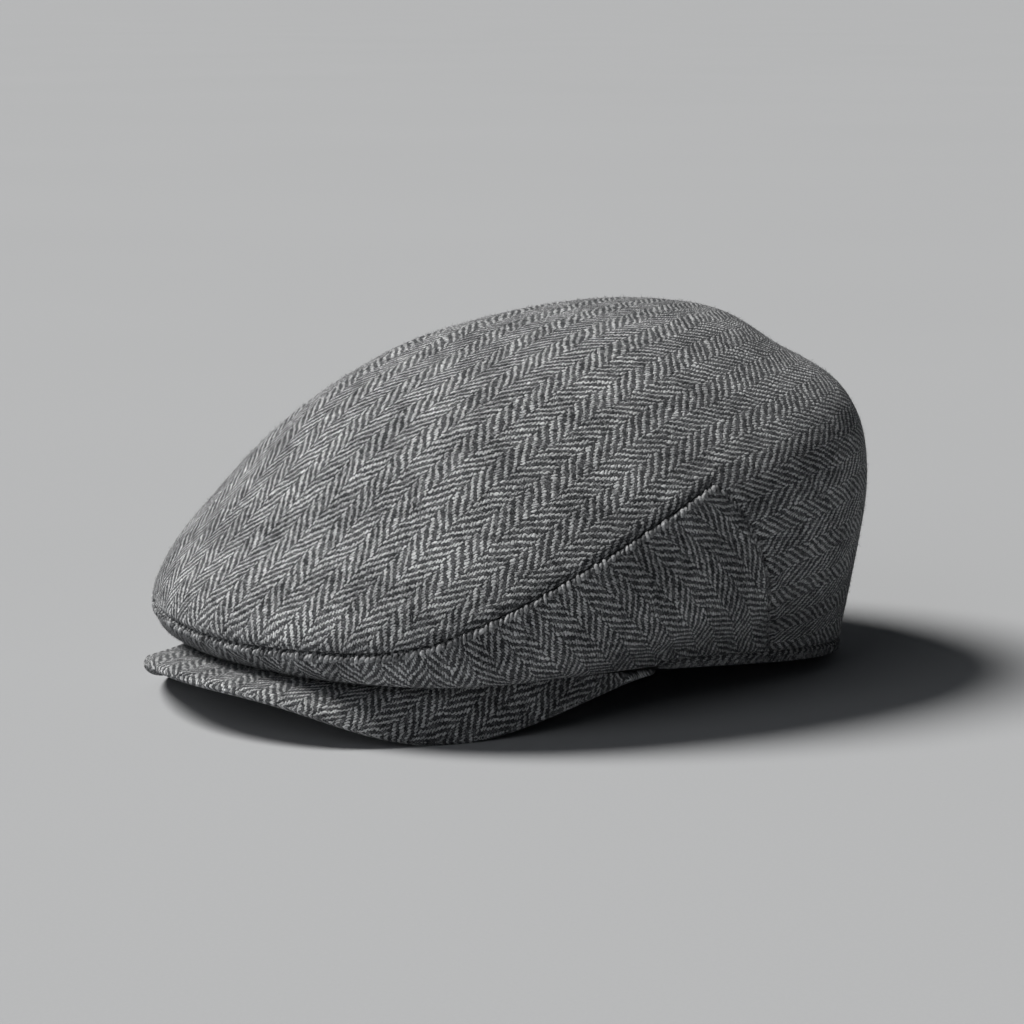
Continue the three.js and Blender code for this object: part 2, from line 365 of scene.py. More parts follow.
# Takes the laid places of a coarse net over to a finer one.
def spread(values, rows, columns, newRows, newColumns):
    wide = np.stack([
        [np.interp(newColumns, columns, row[:, k]) for row in values] for k in range(2)
    ], axis=-1)
    tall = [[np.interp(newRows, rows, wide[:, c, k]) for c in range(wide.shape[1])] for k in range(2)]
    return np.array(tall).transpose(2, 1, 0)


# Lays a coarse net of the piece first, then finer nets that start from it.
def layInSteps(points, along, across, pins, joined):
    everyRow, everyColumn = (np.arange(n) for n in points.shape[:2])
    laid = None
    for stride in laying["strides"]:
        newRows = np.unique(np.append(everyRow[::stride], everyRow[-1]))
        newColumns = np.unique(np.append(everyColumn[::stride], everyColumn[-1]))
        pick = np.ix_(newRows, newColumns)
        if laid is not None:
            laid = spread(laid, rows, columns, newRows, newColumns)
        rows, columns = newRows, newColumns
        laid = layFlat(points[pick], along[pick], across[pick], pins[pick], joined[rows], laid)
    return spread(laid, rows, columns, everyRow, everyColumn)


# Turns the cloth in near a sewn edge and lets it swell beside it. Also says how far the edge is.
def turnIn(points, normals, edge, roll):
    tree = kdtree.KDTree(len(edge))
    for i, point in enumerate(edge):
        tree.insert(point, i)
    tree.balance()
    flat = points.reshape(-1, 3)
    away = np.array([tree.find(point)[2] for point in flat]).reshape(points.shape[:2])
    inside = np.clip(1 - away / roll, 0, 1)
    depth = roll * (1 - np.sqrt(np.maximum(1 - inside ** 2, 0)))
    beyond = np.clip((away - roll) / seaming["puffWidth"], 0, 1)
    depth -= seaming["puff"] * np.sin(math.pi * np.sqrt(beyond)) * (away > roll)
    return points - normals * depth[..., None], away


# Soft unevenness of worn wool: slow waves through space, in millimetres.
waving = {"waves": 28, "shortest": 16, "longest": 62, "fullAt": 60, "seed": 7}
waves = np.random.default_rng(waving["seed"])
waveWays = unit(waves.normal(size=(waving["waves"], 3)))
waveLengths = waves.uniform(waving["shortest"], waving["longest"], waving["waves"])
waveWays = waveWays * (2 * math.pi / waveLengths)[:, None]
waveStarts = waves.uniform(0, 2 * math.pi, waving["waves"])


def ripple(points):
    swell = np.sin(points @ waveWays.T + waveStarts) * waveLengths / waving["fullAt"]
    return swell.sum(-1) / math.sqrt(waving["waves"])


# A value on its way through a material. Sums written with it add Math nodes.
class Value:
    def __init__(self, maker, socket):
        self.maker, self.socket = maker, socket

    def math(self, operation, *values):
        return self.maker.node("ShaderNodeMath", {"operation": operation}, dict(enumerate(values)))

    def __add__(self, other):
        return self.math("ADD", self, other)

    def __radd__(self, other):
        return self.math("ADD", other, self)

    def __sub__(self, other):
        return self.math("SUBTRACT", self, other)

    def __rsub__(self, other):
        return self.math("SUBTRACT", other, self)

    def __mul__(self, other):
        return self.math("MULTIPLY", self, other)

    def __rmul__(self, other):
        return self.math("MULTIPLY", other, self)

    def __truediv__(self, other):
        return self.math("DIVIDE", self, other)

    def __pow__(self, other):
        return self.math("POWER", self, other)

    def __mod__(self, other):
        return self.math("FLOORED_MODULO", self, other)

    def __abs__(self):
        return self.math("ABSOLUTE", self)

    def __lt__(self, other):
        return self.math("LESS_THAN", self, other)

    def floor(self):
        return self.math("FLOOR", self)

    def root(self):
        return self.math("SQRT", self)

    def least(self, other):
        return self.math("MINIMUM", self, other)

    def most(self, other):
        return self.math("MAXIMUM", self, other)


# A material and the ways to add nodes to it.
class Finish:
    def __init__(self, name):
        self.material = bpy.data.materials.new(name)
        self.material.use_nodes = True
        self.tree = self.material.node_tree
        self.tree.nodes.clear()

    def node(self, kind, settings=None, sockets=None, out=0):
        made = self.tree.nodes.new(kind)
        for key, value in (settings or {}).items():
            setattr(made, key, value)
        for key, value in (sockets or {}).items():
            if isinstance(value, Value):
                self.tree.links.new(value.socket, made.inputs[key])
            else:
                made.inputs[key].default_value = value
        return Value(self, made.outputs[out]) if made.outputs else None

    def split(self, vector):
        node = self.node("ShaderNodeSeparateXYZ", {}, {0: vector}).socket.node
        return [Value(self, node.outputs[i]) for i in range(3)]

    def join(self, x, y, z):
        return self.node("ShaderNodeCombineXYZ", {}, {0: x, 1: y, 2: z})

    def step(self, value, low, high):
        return self.node(
            "ShaderNodeMapRange", {"interpolation_type": "SMOOTHSTEP"},
            {"Value": value, "From Min": low, "From Max": high},
        )

    # a Mix node keeps its colours in sockets 6 and 7 and gives one from output 2
    def blend(self, factor, a, b, how="MIX"):
        return self.node(
            "ShaderNodeMix", {"data_type": "RGBA", "blend_type": how}, {0: factor, 6: a, 7: b}, out=2
        )

    # a colour made darker or lighter by a value
    def dim(self, colour, value):
        grey = self.node("ShaderNodeCombineColor", {}, {0: value, 1: value, 2: value})
        return self.blend(1.0, colour, grey, "MULTIPLY")

    def noise(self, vector, scale, detail=2.0, roughness=0.5):
        return self.node(
            "ShaderNodeTexNoise", {},
            {"Vector": vector, "Scale": scale, "Detail": detail, "Roughness": roughness},
        )

    # how far the yarns of flat cloth drift at a place, one value for each direction
    def drift(self, flat, scale):
        sockets = {"Vector": flat, "Scale": scale, "Detail": 2.0}
        return self.split(self.node("ShaderNodeTexNoise", {"noise_dimensions": "2D"}, sockets, out=1))[:2]

    def chance(self, x, y, z):
        place = self.join(x, y, z)
        return self.node("ShaderNodeTexWhiteNoise", {"noise_dimensions": "3D"}, {"Vector": place})

    def shade(self, colour, roughness, height, relief, strength, sheen):
        normal = self.node(
            "ShaderNodeBump", {}, {"Strength": strength, "Distance": relief, "Height": height}
        )
        shader = self.node("ShaderNodeBsdfPrincipled", {}, {
            "Base Color": colour, "Roughness": roughness, "Sheen Weight": sheen, "Sheen Roughness": 0.55,
            "Sheen Tint": (0.86, 0.89, 0.93, 1), "Specular IOR Level": 0.18, "Normal": normal,
        })
        self.node("ShaderNodeOutputMaterial", {}, {"Surface": shader})
        return self.material


wool = {
    "yarnAcross": 0.685,  # millimetres between neighbouring yarns, across the bands
    "yarnAlong": 0.90,  # and along them
    "bandYarns": 10,  # yarns to one band of the herringbone
    "pale": (0.73, 0.74, 0.75, 1),
    "mid": (0.245, 0.25, 0.258, 1),
    "dark": (0.014, 0.016, 0.019, 1),
    "wobble": 0.9,  # millimetres that the yarns wander
    "slowWander": (1.1, 1.3),  # how close together the wanderings are, and their share of the wobble
    "fineWander": (6.5, 0.68),
    "fibres": (1.5, 3.0, 0.7),  # scale, detail and roughness of the uneven shades, from fine to broad
    "hairs": (24.0, 3.0, 0.7),
    "patches": (2.6, 2.0, 0.5),
    "clouds": (0.5, 4.0, 0.62),
    "paleShares": (0.32, 0.5, 2.4, 1.6, 1.1),  # how pale: always, by chance, by fibre, cloud, patch
    "darkShares": (0.16, 0.55, 2.6, 0.9, 0.8),
    "slim": (2.5, 2.1),  # pale and dark floats: 2 fills the place, more leaves a gap
    "gapShadeLevel": 0.14,  # how much light the painted shade between the yarns leaves
    "relief": 0.00034,
    "sheen": 0.1,
}
yarn = {"roughness": 0.92, "relief": 0.0002, "strength": 0.8}


# Two-up two-down twill that turns back every band: pale yarns run along the bands and dark ones
# cross them.
def herringbone(name, tint=1.0, contrast=1.0, relief=1.0):
    f = Finish(name)
    flat = f.node("ShaderNodeUVMap", {"uv_map": "cloth"})
    slow, slowShare = wool["slowWander"]
    fine, fineShare = wool["fineWander"]
    slowX, slowY = f.drift(flat, slow)
    fineX, fineY = f.drift(flat, fine)
    u, v, _ = f.split(flat)
    away = wool["wobble"] * 2

    def yarnNumber(place, slowly, finely, spacing):
        moved = place * clothUnit + (slowly - 0.5) * away * slowShare + (finely - 0.5) * away * fineShare
        return moved / spacing

    x = yarnNumber(u, slowX, fineX, wool["yarnAcross"])
    y = yarnNumber(v, slowY, fineY, wool["yarnAlong"])
    band = (x / wool["bandYarns"]).floor()
    odd = band % 2
    folded = f.node("ShaderNodeMath", {"operation": "PINGPONG"}, {0: x, 1: wool["bandYarns"]})
    shifted = y + odd * 2
    i, j = folded.floor(), shifted.floor()
    isPale = ((j - i) % 4) < 1.5

    # each float of yarn is a short rounded bead, some thicker than others
    paleChance = f.chance(i + band * 40, ((shifted - i) / 4).floor(), 3.0)
    darkChance = f.chance(j, ((folded - j + 3) / 4).floor() + band * 40, 8.0)
    slimPale, slimDark = wool["slim"]
    acrossPale = (folded - i - 0.5) * (slimPale - paleChance * 0.6)
    alongPale = (shifted - i) % 4 - 1
    acrossDark = (shifted - j - 0.5) * slimDark
    alongDark = (folded - j + 3) % 4 - 1
    beadPale = (1 - acrossPale * acrossPale).most(0).root() * (1 - abs(alongPale) ** 4).most(0)
    beadDark = (1 - acrossDark * acrossDark * 0.9).most(0).root() * (1 - abs(alongDark) ** 3 * 0.8).most(0)
    bead = beadDark * 0.8 + (beadPale - beadDark * 0.8) * isPale

    # no two floats take the same shade, and pale and dark fibres are blended in every yarn
    fibres = f.noise(f.join(x * 2.6 + y * 0.9, y * 0.55, 0.0), *wool["fibres"])
    hairs, clouds, patches = (f.noise(flat, *wool[key]) for key in ("hairs", "clouds", "patches"))

    def yarnShade(shares, chance, strand):
        always, byChance, byFibre, byCloud, byPatch = shares
        share = always + chance * byChance + (strand - 0.5) * byFibre
        return (share + (clouds - 0.5) * byCloud + (patches - 0.5) * byPatch).most(0).least(1)

    pale = f.blend(yarnShade(wool["paleShares"], paleChance, fibres), wool["mid"], wool["pale"])
    darkShare = yarnShade(wool["darkShares"], darkChance ** 2, hairs) * contrast
    dark = f.blend(darkShare, wool["dark"], wool["mid"])
    # painted shade: the colour is darkened in the gaps between the yarns, where shade would fall
    paintedGapShade = f.step(bead, 0.0, 0.8) * (1 - wool["gapShadeLevel"]) + wool["gapShadeLevel"]
    # the painted shade between the yarns, times random tone from the clouds and hairs
    light = paintedGapShade * (0.8 + clouds * 0.4) * (0.25 + hairs * 1.5) * tint
    colour = f.dim(f.blend(isPale, dark, pale), light)
    height = bead * (0.75 + 0.25 * isPale) + (fibres - 0.5) * 0.5 + (hairs - 0.5) * 0.4
    rough = 0.9 + (hairs - 0.5) * 0.16
    return f.shade(colour, rough, height, wool["relief"] * relief, 1.0, wool["sheen"])


# One loose yarn or fibre: both shades of wool, and a brightness of its own for each bead.
def yarnFinish(name, tint):
    f = Finish(name)
    flat = f.node("ShaderNodeUVMap", {"uv_map": "cloth"})
    shade = f.node("ShaderNodeAttribute", {"attribute_name": "shade"}, {}, out=2)
    fibres = f.noise(flat, 14.0, 3.0, 0.7)
    twist = f.noise(flat, 3.5, 2.0, 0.6)
    share = (shade * 0.75 + (fibres - 0.5) * 1.5 + (twist - 0.5) * 0.6 + 0.02).most(0).least(1)
    colour = f.blend(share, wool["dark"], f.blend(share, wool["mid"], wool["pale"]))
    colour = f.dim(colour, (0.8 + twist * 0.4) * tint)
    return f.shade(colour, yarn["roughness"], fibres, yarn["relief"], yarn["strength"], wool["sheen"])


print("stage: wool")
crownWool = herringbone("herringbone wool of the crown")
bandWool = herringbone("herringbone wool of the side band")
peakWool = herringbone("herringbone wool of the peak")
hemWool = herringbone("herringbone wool of the hem", 0.95)
liningWool = herringbone("wrong side of the wool", 0.7, 0.8, 0.7)
seamYarn = yarnFinish("yarn of the sewn edges", 0.9)
fuzzFinish = yarnFinish("loose fibres", 1.0)


crown = {
    "frontColumns": 100, "backSeamColumns": 84, "rimColumns": 46, "rows": 140, "insideRows": 20,
    "crowding": 1.45,  # more than 1 brings the rows closer together near the edge
    "ripple": 0.35,
    "calmEdge": 12,  # millimetres over which the ripple sets in
    "dartUp": 0.60,  # the cloth is cut and joined below this, at the middle of the back
    "lean": [  # y, and how many degrees the bands lean there
        (-135, 4), (-110, -1), (-66, -1), (-50, -4), (-35, -7),
        (-20, -11), (20, -9), (35, -13), (55, -17), (70, -19),
    ],
    "leanEnds": (20, 80),  # millimetres to the wearer's right over which the lean goes away
    "fan": 10,  # how much more the bands lean out at the middle of the front
    "fanWidth": 45,  # the x at which that has gone
    "fanFront": (20, 60),  # it grows between these distances in front of the middle
    "wrapUps": (0.52, 0.78),  # they run round the head below the first "up", not above the second
    "wrapTurns": (80, 120),  # and behind where the wall has turned so many degrees
}


# Which way the bands run on the crown: straight back in front, leaning a little to one side
# behind, and round the head at the back.
def crownBands(angle, up, points, normals):
    ring = ringWay(angle, up)
    rise = np.cross(normals, ring)
    turn = np.unwrap(np.arctan2(ring[..., 1], ring[..., 0]), axis=1)
    turn -= 2 * math.pi * np.round(turn[:, [turn.shape[1] // 2]] / (2 * math.pi))
    at, lean = np.array(crown["lean"], float).T
    x, y = points[..., 0], points[..., 1]
    fan = crown["fan"] * (1 - np.clip(x / crown["fanWidth"], 0, 1)) * smooth(-y, *crown["fanFront"])
    lean = np.interp(y, at, lean) + fan
    straight = turn + np.radians(lean * (1 - smooth(-x, *crown["leanEnds"])))
    low, high = crown["wrapUps"]
    firstTurn, lastTurn = (math.radians(t) for t in crown["wrapTurns"])
    wrap = smooth(-up, -high, -low) * smooth(np.abs(turn), firstTurn, lastTurn)
    straight = mix(straight, np.sign(turn) * math.pi / 2, wrap)
    along = ring * np.sin(straight)[..., None] + rise * np.cos(straight)[..., None]
    return along, np.cross(along, normals)


# The crown's edge from the middle of the front to the middle of the back: along the long seam,
# down the back seam and round the rim above the hem.
def crownHalfEdge():
    front = np.linspace(0, 1, crown["frontColumns"] + 1)
    angles = list(front * cornerAngle)
    edgeUps = list(seamRise(front))
    hemUp = float(upForLength(math.radians(form["backSeamRim"]), form["hemHeight"] + form["gap"]))
    down = np.linspace(cornerUp, hemUp, crown["backSeamColumns"] + 1)[1:]
    angles += list(backSeamAngle(down))
    edgeUps += list(down)
    back = np.linspace(angles[-1], math.pi, crown["rimColumns"] + 1)[1:]
    angles += list(back)
    edgeUps += list(upForLength(back, form["hemHeight"] + form["gap"]))
    return np.array(angles), np.array(edgeUps) + float(upForLength(cornerAngle, form["gap"] / 2))


print("stage: crown")
halfAngles, halfUps = crownHalfEdge()
angles = np.concatenate([-halfAngles[::-1], halfAngles[1:]])
edgeUps = np.concatenate([halfUps[::-1], halfUps[1:]])
parts = np.linspace(0, 1, crown["rows"] + 1)[:, None] ** crown["crowding"]
up = mix(edgeUps[None, :], 1, parts)
angle = np.broadcast_to(angles, up.shape)
points = wallPoint(angle, up)
normals = wallNormal(angle.ravel(), up.ravel()).reshape(points.shape)
along, across = crownBands(angle, up, points, normals)
crest = np.zeros(up.shape, bool)
crest[-1] = True
laid = layInSteps(points, along, across, crest, up[:, 0] > crown["dartUp"])
crownOuter, crownAway = turnIn(points, normals, points[0], seaming["crownRoll"])
calm = smooth(crownAway, 0, crown["calmEdge"])
crownOuter = crownOuter + normals * (ripple(points) * crown["ripple"] * calm)[..., None]
crownOuter[-1] = crownOuter[-1].mean(0)

# the inside needs fewer rows
insideParts = np.linspace(0, 1, crown["insideRows"] + 1)[:, None]
insideUps = mix(edgeUps[None, :], 1, insideParts)
crownInner = wallPoint(angle[:crown["insideRows"] + 1], insideUps, form["thickness"])
everyColumn = np.arange(laid.shape[1])
insideLaid = spread(laid, parts[:, 0], everyColumn, insideParts[:, 0], everyColumn)

outerNumbers = ringNumbers(*crownOuter.shape[:2])
innerNumbers = ringNumbers(*crownInner.shape[:2], outerNumbers[:, :-1].size)
shellNumbers = np.concatenate([innerNumbers[::-1], outerNumbers], axis=0)
shellLaid = np.concatenate([insideLaid[::-1], laid], axis=0)
shellPoints = np.concatenate([crownOuter[:, :-1].reshape(-1, 3), crownInner[:, :-1].reshape(-1, 3)])
uv = cornersOn(shellLaid) / clothUnit
crownPiece = makeMesh("crown", shellPoints, quadsOf(shellNumbers).tolist(), uv)
insideFaces = (shellNumbers.shape[1] - 1) * crown["insideRows"]
giveWool(crownPiece, crownWool, liningWool, slice(insideFaces))


band = {
    "columns": 200, "rows": 46, "crowding": 1.6, "ripple": 0.3, "calmEdge": 10,
    "slant": 38,  # degrees that the herringbone slants at the sides
    "slantFrom": (30, 62),  # it sets in between these angles
    "hug": 4,  # how late the columns bend towards the back seam
    "lift": (82.3, 1.1),  # the foot rises over the hem from this angle on, within so many degrees
}


def bandPlace(along, part):
    edge = np.abs(along)
    footAngle = edge * mix(cornerAngle, math.radians(form["backSeamRim"]), edge ** band["hug"])
    liftFrom, liftOver = (math.radians(a) for a in band["lift"])
    overHem = smooth(footAngle, liftFrom, liftFrom + liftOver)
    lowest = overHem * upForLength(footAngle, form["hemHeight"] + form["gap"])
    turn = mix(cornerAngle, backSeamAngle(mix(lowest, cornerUp, part)), edge ** band["hug"])
    return along * turn, mix(lowest, seamRise(along), part)


# A wall of cloth: an outer and an inner sheet, and the cloth that runs on over all four edges.
def closedShell(name, outer, inner, laid, finish, insideFinish):
    rows, columns = outer.shape[:2]
    count = rows * columns
    out = np.arange(count).reshape(rows, columns)
    points = np.concatenate([outer.reshape(-1, 3), inner.reshape(-1, 3)])
    flat = np.concatenate([laid.reshape(-1, 2)] * 2)
    faces = [quadsOf(out), quadsOf(out + count)[:, ::-1]]
    inside = slice(len(faces[0]), 2 * len(faces[0]))
    cloth = [flat[sheet] for sheet in faces]
    for rim, before, turned in (
        (out[0], out[1], True), (out[-1], out[-2], False),
        (out[:, 0], out[:, 1], False), (out[:, -1], out[:, -2], True),
    ):
        deep = np.linalg.norm(points[rim] - points[rim + count], axis=1)[:, None]
        onward = flat[rim] + unit(flat[rim] - flat[before]) * deep
        sides = [(rim, flat[rim]), (rim + count, onward)]
        (a, aCloth), (b, bCloth) = sides[::-1] if turned else sides
        faces.append(np.stack([a[:-1], a[1:], b[1:], b[:-1]], axis=-1))
        cloth.append(np.stack([aCloth[:-1], aCloth[1:], bCloth[1:], bCloth[:-1]], axis=1))
    uv = np.concatenate(cloth).reshape(-1, 2) / clothUnit
    piece = makeMesh(name, points, np.concatenate(faces).tolist(), uv)
    giveWool(piece, finish, insideFinish, inside)
    return piece


print("stage: side band")
half = 1 - (1 - np.linspace(0, 1, band["columns"] + 1)) ** band["crowding"]
alongs = np.concatenate([-half[::-1], half[1:]])
partRows = 0.5 - 0.5 * np.cos(math.pi * np.linspace(0, 1, band["rows"] + 1))
bandAlong, bandPart = np.meshgrid(alongs, partRows)
angle, up = bandPlace(bandAlong, bandPart)
angle = angle - form["gap"] / form["seamRadius"] * bandAlong ** 9  # the sewing gap at the back seams
up = up - float(upForLength(cornerAngle, form["gap"])) * bandPart
points = wallPoint(angle, up)
normals = wallNormal(angle.ravel(), up.ravel()).reshape(points.shape)
ring = ringWay(angle, up)
rise = np.cross(normals, ring)
slantShare = smooth(np.degrees(np.abs(angle)), *band["slantFrom"])
slant = (np.radians(band["slant"]) * slantShare * np.sign(angle))[..., None]
along = rise * np.cos(slant) - ring * np.sin(slant)
across = np.cross(along, normals)
pin = np.zeros(up.shape, bool)
pin[-1, len(alongs) // 2] = True
bandLaid = layInSteps(points, along, across, pin, pin[:, 0])
bandEdge = np.concatenate([points[0], points[-1], points[:, 0], points[:, -1]])
bandOuter, bandAway = turnIn(points, normals, bandEdge, seaming["bandRoll"])
calm = smooth(bandAway, 0, band["calmEdge"])
bandOuter = bandOuter + normals * (ripple(points) * band["ripple"] * calm)[..., None]
bandInner = wallPoint(angle, up, form["thickness"])
bandPiece = closedShell("side_band_cloth", bandOuter, bandInner, bandLaid, bandWool, liningWool)


peak = {
    "rootX": 83, "rootY": -12, "squareness": 0.76,
    "heightAngles": (-90, -60, -30, 0, 30, 60, 90),
    "heights": (13.8, -1, 10.5, 14.5, 10.5, -1, 13.8),
    "rootAngle": 82, "rootDrop": 0.5,
    "rootWithin": (0.18, 19),  # the root hangs from the wall's lowest place below this "up"; places tried
    "thickness": 4.0, "edgeThickness": 3.8, "endThickness": 1.0,
    "fullness": 0.3,  # how soon the peak gets its whole thickness, going in from its ends
    "columns": 240, "rows": 44, "crowding": 1.6,
    "edgeRoll": 3.2, "endRoll": 0.2,  # millimetres, and the share of it that is left at the ends
    "lean": [(25, -18), (40, -20), (49, -26), (56, -30), (66, -36), (77, -44)],  # by angle round the peak
    "tip": (-40, 17, 2.8),  # where the worn edge hangs lowest, how wide, how much thicker
}


def peakEdgeAt(turn):
    knots = np.array(peak["heightAngles"], float)
    values = np.array(peak["heights"], float)
    z = splineAt(knots, values, bendMatrix(knots) @ values, np.degrees(turn))
    c = np.abs(np.cos(turn)) ** peak["squareness"]
    return np.stack([peak["rootX"] * np.sin(turn), mix(peak["rootY"], form["peakFrontY"], c), z], axis=-1)


print("stage: peak")
turn = np.linspace(-math.pi / 2, math.pi / 2, peak["columns"] + 1)
out = 1 - (1 - np.linspace(0, 1, peak["rows"] + 1)) ** peak["crowding"]
rootAngle = turn / (math.pi / 2) * math.radians(peak["rootAngle"])
root = wallPoint(rootAngle, 0.0, form["thickness"] / 2)
tried = np.linspace(0, *peak["rootWithin"])[:, None]
root[:, 2] = wallPoint(rootAngle[None, :], tried)[..., 2].min(0) - peak["rootDrop"]
full = np.maximum(np.cos(turn), 0) ** peak["fullness"]
edge = peakEdgeAt(turn)
edge[:, 2] += mix(peak["endThickness"], peak["edgeThickness"], full)
peakTop = mix(root[None], edge[None], out[:, None, None])
nearEdge = out[:, None] ** 3
thick = mix(peak["thickness"], peak["edgeThickness"], nearEdge)
thick = mix(peak["endThickness"], thick, full[None])
tipAt, tipWide, tipMore = peak["tip"]
thick = thick + tipMore * np.exp(-((np.degrees(turn) - tipAt) / tipWide) ** 2)[None] * nearEdge
peakUnder = peakTop.copy()
peakUnder[..., 2] = np.maximum(peakUnder[..., 2] - thick, 0)

# the edge is rounded from both sides
reach = np.linalg.norm(edge - root, axis=1)[None] * (1 - out[:, None])
inward = np.clip(1 - reach / (peak["edgeRoll"] * mix(peak["endRoll"], 1, full[None])), 0, 1)
share = (1 - np.sqrt(np.maximum(1 - inward ** 2, 0)))[..., None] / 2
peakTop, peakUnder = mix(peakTop, peakUnder, share), mix(peakUnder, peakTop, share)

flatNormals = unit(np.cross(np.gradient(peakTop, axis=1), np.gradient(peakTop, axis=0)))
flatNormals *= np.sign(flatNormals[peak["rows"] // 2, peak["columns"] // 2, 2])
back = np.array([0, 1, 0])
straight = unit(back - flatNormals * (flatNormals @ back)[..., None])
at, lean = np.array(peak["lean"], float).T
lean = np.radians(np.interp(np.degrees(turn), at, lean))[None, :, None]
along = straight * np.cos(lean) + np.cross(straight, flatNormals) * np.sin(lean)
across = np.cross(along, flatNormals)
pin = np.zeros(reach.shape, bool)
pin[0, peak["columns"] // 2] = True
peakLaid = layInSteps(peakTop, along, across, pin, pin[:, 0])
peakPiece = closedShell("peak_cloth", peakUnder, peakTop, peakLaid, peakWool, peakWool)


hem = {
    "stations": 460, "sides": 16, "thickness": 2.8, "proud": 0.5, "start": 82.5,
    "taper": 0.05,  # radians over which its ends come out of the wall
    "flat": 0.6,  # millimetres pressed off its lower side
    "squareness": 0.55,
    "girth": 10.5,  # millimetres of cloth round it
}

print("stage: hem")
hemStart = math.radians(hem["start"])
stations = np.linspace(hemStart, 2 * math.pi - hemStart, hem["stations"] + 1)
top = upForLength(stations, form["hemHeight"])
around = np.linspace(0, 2 * math.pi, hem["sides"], endpoint=False)
depthShare = 0.5 - 0.5 * np.sign(np.cos(around)) * np.abs(np.cos(around)) ** hem["squareness"]
riseShare = 0.5 + 0.5 * np.sign(np.sin(around)) * np.abs(np.sin(around)) ** hem["squareness"]
fromEnd = np.minimum(stations - stations[0], stations[-1] - stations)[:, None]
hemGrid = wallPoint(
    np.broadcast_to(stations[:, None], (len(stations), hem["sides"])), riseShare[None] * top[:, None],
    depthShare[None] * hem["thickness"] - hem["proud"] * smooth(fromEnd, 0, hem["taper"]),
)
hemGrid[..., 2] = np.maximum(hemGrid[..., 2] - hem["flat"] * (1 - riseShare[None]), 0)
closed = ringNumbers(len(stations), hem["sides"] + 1)
girth = np.linspace(0, hem["girth"], hem["sides"] + 1)[None]
hemLaid = np.stack(np.broadcast_arrays(girth, runLength(hemGrid[:, 0])[:, None]), axis=-1)
ends = [closed[0, :-1].tolist(), closed[-1, -2::-1].tolist()]
hemFaces = quadsOf(closed).tolist() + ends
hemUv = np.concatenate([cornersOn(hemLaid), hemLaid[0, :-1], hemLaid[-1, -2::-1]]) / clothUnit
hemPiece = makeMesh("rim_hem_cloth", hemGrid.reshape(-1, 3), hemFaces, hemUv)
hemPiece.data.materials.append(hemWool)


bead = {
    "sides": 8,
    "places": (-1, -0.72, 0, 0.72, 1),  # along half its length, and how thick it is at each
    "girths": (0.3, 0.8, 1, 0.8, 0.3),
    "shift": 0.18,  # how unlike its neighbours a bead may be: in place, turn, height and size
    "turn": 13,
    "lift": 0.12,
    "sizes": (0.7, 1.2),
}


# Short fat beads of yarn laid in a row, for a rope-like sewn edge or a row of stitches.
def beadRow(name, line, normals, row):
    rng = np.random.default_rng(row["seed"])
    way = unit(np.gradient(line, axis=0))
    length = runLength(line)
    count = int(length[-1] / row["spacing"])
    at = (np.arange(count) + 0.5 + rng.uniform(-bead["shift"], bead["shift"], count)) * length[-1] / count

    def onLine(vectors):
        return np.stack([np.interp(at, length, vectors[:, k]) for k in range(3)], axis=-1)

    centre, out, way = onLine(line), unit(onLine(normals)), unit(onLine(way))
    tilt = np.radians(row["tilt"] + rng.normal(0, bead["turn"], count))[:, None]
    longWay = way * np.cos(tilt) + np.cross(out, way) * np.sin(tilt)
    wideWay = np.cross(out, longWay)
    centre = centre + out * rng.uniform(-bead["lift"], bead["lift"], count)[:, None]
    halves = row["length"] / 2, row["width"] / 2, row["height"] / 2
    size = rng.uniform(*bead["sizes"], (count, 3)) * halves
    places, thick = np.array(bead["places"]), np.array(bead["girths"])
    around = np.linspace(0, 2 * math.pi, bead["sides"], endpoint=False)
    points = (
        centre[:, None, None] + (longWay * size[:, :1])[:, None, None] * places[:, None, None]
        + (wideWay * size[:, 1:2])[:, None, None] * (thick[:, None] * np.cos(around))[..., None]
        + (out * size[:, 2:])[:, None, None] * (thick[:, None] * np.sin(around))[..., None]
    )
    closed = ringNumbers(len(places), bead["sides"] + 1)
    sides, caps = quadsOf(closed), [closed[0, -2::-1], closed[-1, :-1]]
    each = len(places) * bead["sides"]
    faces = []
    for k in range(count):
        faces += (sides + each * k).tolist() + [(cap + each * k).tolist() for cap in caps]
    corners = np.concatenate([sides.ravel(), *caps])

    # each bead takes its fibres from a spot of its own on the cloth map
    spot = np.stack(np.broadcast_arrays(around[None] * 0.05, places[:, None] * 0.11), axis=-1)
    spot = spot.reshape(-1, 2)
    uv = np.concatenate([spot[corners] + (k * 0.73 % 9, k * 0.31 % 7) for k in range(count)])
    shade = np.repeat(rng.uniform(row["dull"], row["bright"], count), each)
    piece = makeMesh(name, points.reshape(-1, 3), faces, uv, {"shade": shade})
    piece.data.materials.append(seamYarn)
    return piece


# A bead row that follows the wall, its middle so many millimetres below the outer skin.
def wallRow(name, angle, up, row):
    return beadRow(name, wallPoint(angle, up, row["depth"]), wallNormal(angle, up), row)


print("stage: seams")

# The beads lie on the band, so many millimetres "below" the long seam or "aside" from a back seam.
rope = {
    "spacing": 1.75, "length": 2.9, "width": 1.5, "height": 1.7, "tilt": 48, "dull": 0.35, "bright": 1.0,
    "below": 1.3, "depth": -0.3, "points": 900, "seed": 3,
}
along = np.linspace(-1, 1, rope["points"])
upPerMillimetre = float(upForLength(cornerAngle, 1.0))
seamAngles = along * cornerAngle
seamUps = seamRise(along)
seamRope = wallRow("long_seam_rope", seamAngles, seamUps - rope["below"] * upPerMillimetre, rope)

